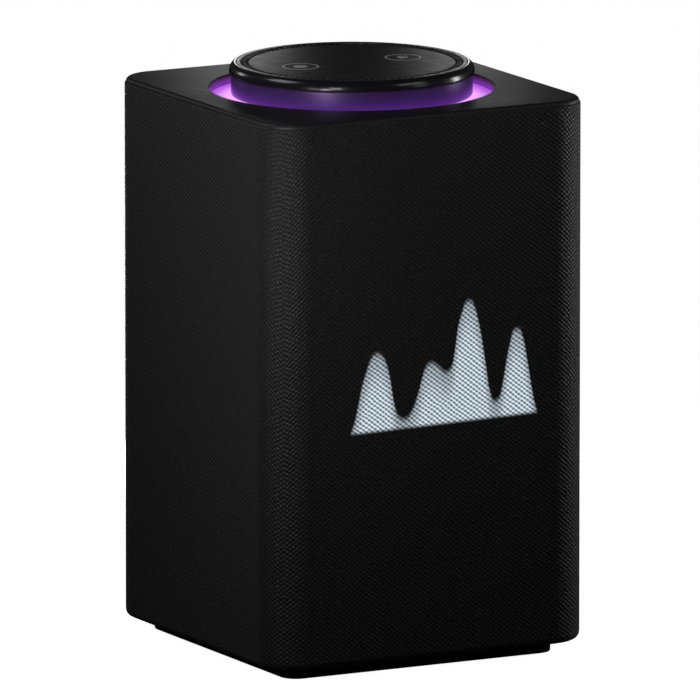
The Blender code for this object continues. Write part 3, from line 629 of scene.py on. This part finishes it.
def makePortPanel():
    low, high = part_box("port_panel")
    piece = addBox(low, high)
    startEdit(piece)
    pick(piece, "EDGE", lambda e: runsAlong(e, 1))
    bpy.ops.mesh.bevel(offset=0.0026, segments=6, affect="EDGES")
    pick(piece, "EDGE", lambda e: all(abs(v.co.y - high.y) < 1e-5 for v in e.verts))
    bpy.ops.mesh.bevel(offset=0.0004, segments=3, affect="EDGES")
    endEdit()
    clear = 0.3 * mm
    for node in ("video_socket", "network_socket"):
        start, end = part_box(node)
        cut(piece, addBox((start.x - clear, low.y - 0.01, start.z - clear),
                          (end.x + clear, high.y + 0.01, end.z + clear)))
    for node in ("power_jack", "audio_jack"):
        start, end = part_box(node)
        middle = (start + end) / 2
        cut(piece, addRod((end.x - start.x) / 2 + clear, low.y - 0.01, high.y + 0.01,
                          (middle.x, middle.z), 48, "Y"))
    finishPiece(piece, "portPanel", "housing", innerPlastic, ["port_panel"])


makeFoot()
makeTopPlate()
makePortPanel()
print("foot, top plate and rear panel ready")


# the turning ring and the disc inside it

ringLook = {"outer": 48.2, "wall": 47.4, "inside": 46.2, "lip": 45.55, "top": 231.0, "shoulder": 227.2,
            "low": 218.4, "chamfer": 2.6}
discLook = {"radius": 40.6, "slots": 96, "barWidth": 1.0, "barTop": 230.85, "button": 7.6, "offset": 22.7,
            "hole": 7.75, "top": 230.7, "markFoot": 230.55, "markTop": 230.76}

ringGloss = mouldedPlastic("ringGloss", (0.030, 0.030, 0.034), (0.30, 0.30, 0.32), 0.24, 3000, 0.000004,
                           0.05, 0.3, Metallic=0.55, Coat_Weight=0.6, Coat_Roughness=0.12)
trimMetal = metalFinish("trimMetal", (0.09, 0.09, 0.095), 0.34, (300, 300, 900), 0.000004)
discPlastic = mouldedPlastic("discPlastic", (0.0070, 0.0070, 0.0075), (0.06, 0.06, 0.065), 0.43, 3200,
                             0.000008, 0.04, 0.3, Specular_IOR_Level=0.14)
ventPlastic = mouldedPlastic("ventPlastic", (0.040, 0.040, 0.043), (0.14, 0.14, 0.14), 0.5, 2600, 0.00001,
                             0.05)


def shadeSlots(material):
    # painted shade: the sides of the bars darken with depth into the slots
    tree = material.node_tree
    surface = tree.nodes["Principled BSDF"]
    plain = surface.inputs["Base Color"].links[0].from_socket
    height = addNode(tree, "SeparateXYZ", {"Vector": objectPlace(tree)}).outputs["Z"]
    tree.links.new(blendColours(tree, ease(tree, height, 0.23060, 0.23084), (0.0015, 0.0015, 0.0015), plain),
                   surface.inputs["Base Color"])


shadeSlots(ventPlastic)
# the floor under the bars is near black: painted shade for the depth of the slots
ventFloorPaintedShade = mouldedPlastic("ventFloorPaintedShade", (0.002, 0.002, 0.002), (0.01, 0.01, 0.01), 0.8, 2600,
                                  0.00001, 0.0, Specular_IOR_Level=0.1)
markInk = mouldedPlastic("markInk", (0.80, 0.80, 0.82), (0.85, 0.85, 0.85), 0.5, 4000, 0.000004, 0.0, 0.1)


def ringWallMaterial():
    # satin gloss, with a painted glow: violet emission, brightest at the foot of the wall and fading upward,
    # stands in for the light carried up from the well
    material, tree, surface = newMaterial("ringWallGlossPaintedGlow", Metallic=0.6, Coat_Weight=0.3, Coat_Roughness=0.3)
    place = objectPlace(tree)
    texture = useGroup(tree, fineGrain, Place=place, Scale=3000.0)
    tree.links.new(blendColours(tree, texture["Mottle"], (0.15, 0.08, 0.25), (0.18, 0.10, 0.29)),
                   surface.inputs["Base Color"])
    tree.links.new(ease(tree, texture["Mottle"], 0.3, 0.7, 0.28, 0.33), surface.inputs["Roughness"])
    axes = addNode(tree, "SeparateXYZ", {"Vector": place}).outputs
    # painted glow: emission strongest low on the wall, fading towards the cap
    rise = ease(tree, axes["Z"], 0.2190, 0.2268, 1.0, 0.22)
    tree.links.new(blendColours(tree, rise, (0, 0, 0), (0.011, 0.003, 0.045)),
                   surface.inputs["Emission Color"])
    surface.inputs["Emission Strength"].default_value = 1.0
    bumpFrom(tree, surface, texture["Height"], 0.000004)
    return material


def lightFloorMaterial():
    material, tree, surface = newMaterial("litDiffuser", Roughness=0.5)
    place = objectPlace(tree)
    axes = addNode(tree, "SeparateXYZ", {"Vector": place}).outputs
    squares = [calc(tree, "POWER", axes[axis], 2.0) for axis in "XY"]
    reach = calc(tree, "SQRT", calc(tree, "ADD", *squares))
    angle = calc(tree, "ARCTAN2", axes["Y"], axes["X"])
    lamps = calc(tree, "MULTIPLY_ADD", calc(tree, "COSINE", calc(tree, "MULTIPLY", angle, 16.0)), 0.04, 0.96)
    outward = ease(tree, reach, 0.0475, 0.0560)
    texture = useGroup(tree, fineGrain, Place=place, Scale=1800.0)
    colour = blendColours(tree, outward, (0.90, 0.36, 1.0), (0.42, 0.09, 0.66))
    tree.links.new(blendColours(tree, lamps, (0.2, 0.05, 0.4), colour), surface.inputs["Emission Color"])
    tree.links.new(blendColours(tree, texture["Mottle"], (0.5, 0.4, 0.6), (0.7, 0.6, 0.8)),
                   surface.inputs["Base Color"])
    bumpFrom(tree, surface, texture["Height"], 0.00001)
    surface.inputs["Emission Strength"].default_value = 1.0
    return material


def makeRing():
    look = ringLook
    rise = look["top"] - look["shoulder"]
    crown = [(look["outer"] - look["chamfer"] * (1 - math.cos(a)), look["shoulder"] + rise * math.sin(a))
             for a in (math.pi / 2 * i / 12 for i in range(13))]
    cap = turnedRing([(look["inside"], 226.75), (47.85, 226.75), (48.1, 226.9)] + crown
                     + [(look["lip"], 230.92), (look["lip"], 227.9), (look["inside"], 227.3)], 192)
    finishPiece(cap, "ringCap", "volume_knob", ringGloss, ["volume_ring"])
    wall = turnedRing([(look["inside"], 226.4), (look["inside"], 218.45), (46.9, look["low"]), (47.2, 218.5),
                       (look["wall"], 218.9), (look["wall"], 226.4)], 192)
    finishPiece(wall, "ringWall", "volume_knob", ringWallMaterial(), ["volume_ring"])


def makeTrim():
    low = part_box("trim_ring")[0]
    ring = turnedRing([(43.75, low.z / mm), (43.75, 230.8), (43.85, 230.93), (44.0, 231.0), (45.0, 231.0),
                       (45.15, 230.93), (45.25, 230.8), (45.25, low.z / mm)], 192)
    finishPiece(ring, "trimRing", "housing", trimMetal, ["trim_ring"])


def makeVent():
    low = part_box("vent_ring")[0]
    floorRing = turnedRing([(40.9, low.z / mm), (40.9, 229.15), (43.45, 229.15), (43.45, low.z / mm)], 192)
    finishPiece(floorRing, "ventFloor", "housing", ventFloorPaintedShade, ["vent_ring"])
    top, half = discLook["barTop"] * mm, discLook["barWidth"] / 2 * mm
    bar = addBox((41.0 * mm, -half, 229.1 * mm), (43.4 * mm, half, top))
    bevelRim(bar, top, 0.2 * mm, 2)
    startEdit(bar)
    bpy.ops.mesh.select_all(action="SELECT")
    bpy.ops.mesh.spin(steps=discLook["slots"] - 1, dupli=True, center=(0, 0, 0), axis=(0, 0, 1),
                      angle=math.tau * (discLook["slots"] - 1) / discLook["slots"])
    endEdit()
    finishPiece(bar, "ventRing", "housing", ventPlastic, ["vent_ring"])


def makeDisc():
    look = discLook
    disc = turnedRing([(0.45, 227.6), (0.45, look["top"] - 0.12), (0.6, look["top"]),
                       (look["radius"] - 0.35, look["top"]), (look["radius"] - 0.1, look["top"] - 0.1),
                       (look["radius"], look["top"] - 0.35),
                       (look["radius"], 228.7), (43.4, 228.7), (43.4, 227.6)], 160)
    for side in (-1, 1):
        cut(disc, addRod(look["hole"] * mm, 0.220, 0.240, (side * look["offset"] * mm, 0), 96))

    def byButton(edge):
        spot = edge.verts[0].co
        return math.hypot(abs(spot.x) - look["offset"] * mm, spot.y) < 8.1 * mm
    bevelRim(disc, look["top"] * mm, 0.15 * mm, 2, byButton)
    finishPiece(disc, "controlDisc", "housing", discPlastic, ["top_disc"])


def makeButton(name, node, body, side):
    low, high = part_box(node)
    cap = addRod(discLook["button"] * mm, low.z, high.z, (side * discLook["offset"] * mm, 0), 96)
    bevelRim(cap, high.z, 0.25 * mm, 3)
    startEdit(cap)
    pick(cap, "FACE", lambda f: f.normal.z > 0.9 and f.calc_area() > 1e-5)
    bpy.ops.mesh.inset(thickness=1.6 * mm)
    bpy.ops.mesh.inset(thickness=2.4 * mm)
    bpy.ops.transform.translate(value=(0, 0, -0.06 * mm))
    endEdit()
    finishPiece(cap, name, body, discPlastic, [node])
    mark = turnedRing([(6.45, 230.6), (6.45, 230.76), (7.35, 230.76), (7.35, 230.6)], 96,
                      (side * discLook["offset"] * mm, 0))
    finishPiece(mark, name + "Ring", body, markInk)


def makeMarks():
    centre, foot, top = discLook["offset"] * mm, discLook["markFoot"] * mm, discLook["markTop"] * mm
    dot = addRod(2.8 * mm, foot, top, (-centre, 0), 48)
    bevelRim(dot, top, 0.05 * mm, 1)
    finishPiece(dot, "actionDot", "action_cap", markInk)
    capsule = addRod(1.2 * mm, foot, top, (centre, 0.8 * mm), 32)
    startEdit(capsule)
    pick(capsule, "FACE", lambda f: f.normal.y > 0.1 and abs(f.normal.z) < 0.5)
    bpy.ops.transform.translate(value=(0, 1.4 * mm, 0))
    endEdit()
    holder = turnedRing([(1.8, 230.55), (1.8, 230.76), (2.4, 230.76), (2.4, 230.55)], 48, (centre, 0.8 * mm))
    cut(holder, addBox((centre - 0.003, 0.8 * mm, 0.2300), (centre + 0.003, 0.004, 0.2320)))
    stem = addBox((centre - 0.3 * mm, -2.3 * mm, foot), (centre + 0.3 * mm, -1.2 * mm, top))
    slash = addBox((centre - 0.3 * mm, -3.6 * mm, foot), (centre + 0.3 * mm, 4.0 * mm, top + 0.02 * mm))
    startEdit(slash)
    bpy.ops.mesh.select_all(action="SELECT")
    bpy.ops.transform.rotate(value=math.radians(42), orient_axis="Z", center_override=(centre, 0, 0.2307))
    endEdit()
    symbol = joinPieces([capsule, holder, stem, slash])
    startEdit(symbol)
    bpy.ops.mesh.select_all(action="SELECT")
    bpy.ops.mesh.dissolve_degenerate(threshold=1e-6)
    endEdit()
    finishPiece(symbol, "muteSymbol", "mute_cap", markInk)


makeRing()
makeTrim()
makeVent()
makeDisc()
makeButton("actionButton", "action_button", "action_cap", -1)
makeButton("muteButton", "mute_button", "mute_cap", 1)
makeMarks()
print("ring, disc and buttons ready")


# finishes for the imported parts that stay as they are

slotFinish = {
    "black_plastic": innerPlastic,
    "disc_plastic": discPlastic,
    "light_diffuser": lightFloorMaterial(),
    "display_diffuser": mouldedPlastic("milkyDiffuser", (0.78, 0.79, 0.80), (0.9, 0.9, 0.9), 0.5, 1600,
                                       Subsurface_Weight=0.2),
    "white_plastic": mouldedPlastic("whitePlastic", (0.74, 0.74, 0.72), (0.85, 0.85, 0.85), 0.4, 1800),
    "circuit_board": boardFinish("circuitBoard", (0.012, 0.11, 0.05)),
    "steel": metalFinish("plainSteel", (0.52, 0.52, 0.54), 0.32),
    "magnet": metalFinish("ferriteMagnet", (0.05, 0.05, 0.055), 0.6, (700, 700, 700), 0.00004, 0.3),
    "heat_sink": metalFinish("heatSink", (0.62, 0.62, 0.64), 0.35, (900, 900, 30)),
    "cone_paper": clothFinish("conePaper", (0.06, 0.06, 0.064), 900.0),
    "surround_rubber": mouldedPlastic("surroundRubber", (0.022, 0.022, 0.022), (0.06, 0.06, 0.06), 0.6, 1500),
    "coil_copper": windingFinish(),
    "spider_cloth": clothFinish("spiderCloth", (0.60, 0.50, 0.30), 1400.0),
    "dome_silk": clothFinish("domeSilk", (0.09, 0.08, 0.07), 2200.0, 0.6),
    "radiator_plate": mouldedPlastic("radiatorPlate", (0.22, 0.22, 0.24), (0.4, 0.4, 0.4), 0.5, 1500),
    "ribbon": ribbonFinish(),
    "trim_metal": trimMetal, "ring_gloss": ringGloss, "foot_rubber": rubberFoot,
    "fabric": innerPlastic,
}
for row in frame["record"]["subparts"]:
    part = frame["nodes"][row["node"]]
    part.data.materials.clear()
    part.data.materials.append(slotFinish[row["material_slot"]])
print("finishes set on the packed parts")


# floor, lights and camera

def makeStage():
    deselectAll()
    bpy.ops.mesh.primitive_plane_add(size=6, location=(0, 0, -0.0001))
    floor = bpy.context.object
    floor.name = "floor"
    material = bpy.data.materials.new("paleFloor")
    material.use_nodes = True
    tree = material.node_tree
    tree.nodes.clear()
    seen = addNode(tree, "LightPath").outputs["Is Camera Ray"]
    pale = addNode(tree, "Emission", {"Color": (1, 1, 1, 1), "Strength": 0.98}).outputs[0]
    matte = addNode(tree, "BsdfDiffuse", {"Color": (0.8, 0.8, 0.8, 1)}).outputs[0]
    dim = addNode(tree, "BsdfDiffuse", {"Color": (0.05, 0.05, 0.05, 1)}).outputs[0]
    both = addNode(tree, "AddShader", {0: pale, 1: matte}).outputs[0]
    shown = addNode(tree, "MixShader", {0: seen, 1: dim, 2: both}).outputs[0]
    addNode(tree, "OutputMaterial", {"Surface": shown})
    floor.data.materials.append(material)

    world = bpy.data.worlds.new("studio")
    bpy.context.scene.world = world
    world.use_nodes = True
    tree = world.node_tree
    tree.nodes.clear()
    seen = addNode(tree, "LightPath").outputs["Is Camera Ray"]
    white = addNode(tree, "Background", {"Color": (1, 1, 1, 1), "Strength": 1.0}).outputs[0]
    grey = addNode(tree, "Background", {"Color": (1, 1, 1, 1), "Strength": 0.02}).outputs[0]
    around = addNode(tree, "MixShader", {0: seen, 1: grey, 2: white}).outputs[0]
    addNode(tree, "OutputWorld", {"Surface": around})


lightLook = {   # place and aim in metres, width and height of the panel, power in watts
    "leftHigh": {"place": (-0.17, 0.03, 0.345), "aim": (-0.09, 0, 0.16),
        "size": (0.08, 0.08), "power": 0.048},
    "leftBack": {"place": (-0.14, 0.24, 0.285), "aim": (-0.06, 0.03, 0.21),
        "size": (0.05, 0.05), "power": 0.020},
    "cornerTall": {"place": (-0.29, -0.15, 0.21), "aim": (-0.06, -0.06, 0.16),
        "size": (0.04, 0.16), "power": 0.03},
    "cornerNear": {"place": (-0.18, -0.15, 0.19), "aim": (-0.065, -0.065, 0.15),
        "size": (0.03, 0.12), "power": 0.09},
    "ringFront": {"place": (-0.16, -0.18, 0.27), "aim": (-0.05, -0.05, 0.19),
        "size": (0.04, 0.06), "power": 0.035},
    "rightStrip": {"place": (0.40, -0.06, 0.20), "aim": (0.06, -0.06, 0.17),
        "size": (0.06, 0.24), "power": 0.34},
    "frontRight": {"place": (0.30, -0.40, 0.30), "aim": (0.04, -0.07, 0.17),
        "size": (0.12, 0.16), "power": 0.035},
    "frontHigh": {"place": (0.10, -0.19, 0.33), "aim": (0.02, -0.07, 0.20),
        "size": (0.10, 0.06), "power": 0.02},
    "backLeft": {"place": (0.071, 0.241, 0.267), "aim": (-0.044, 0.023, 0.221),
        "size": (0.04, 0.05), "power": 0.0135},
    "backRight": {"place": (0.159, 0.194, 0.267), "aim": (0.044, -0.023, 0.221),
        "size": (0.04, 0.05), "power": 0.012},
    "rearPanel": {"place": (0.12, 0.42, 0.08), "aim": (0, 0.07, 0.10),
        "size": (0.20, 0.10), "power": 0.8},
}


def makeLights():
    for name, look in lightLook.items():
        place = Vector(look["place"])
        data = bpy.data.lights.new(name, "AREA")
        data.shape, data.energy = "RECTANGLE", look["power"]
        data.size, data.size_y = look["size"]
        lamp = bpy.data.objects.new(name, data)
        lamp.location = place
        lamp.rotation_euler = (place - Vector(look["aim"])).to_track_quat("Z", "Y").to_euler()
        lamp.visible_camera = False
        bpy.context.scene.collection.objects.link(lamp)


cameraLook = {"azimuth": -27.914, "elevation": 10.645, "distance": 6.9613, "height": 0.11595, "lens": 911.7,
              "shift": -0.00264}


def makeCamera():
    look = cameraLook
    turn, rise = math.radians(look["azimuth"]), math.radians(look["elevation"])
    away = Vector((math.sin(turn) * math.cos(rise), -math.cos(turn) * math.cos(rise), math.sin(rise)))
    data = bpy.data.cameras.new("camera")
    data.lens, data.sensor_width, data.shift_x = look["lens"], 36, look["shift"]
    data.clip_end = 50
    camera = bpy.data.objects.new("camera", data)
    camera.location = Vector((0, 0, look["height"])) + away * look["distance"]
    camera.rotation_euler = away.to_track_quat("Z", "Y").to_euler()
    bpy.context.scene.collection.objects.link(camera)
    bpy.context.scene.camera = camera
    bpy.context.scene.view_settings.view_transform = "Standard"


makeStage()
makeLights()
makeCamera()
print("stage ready")
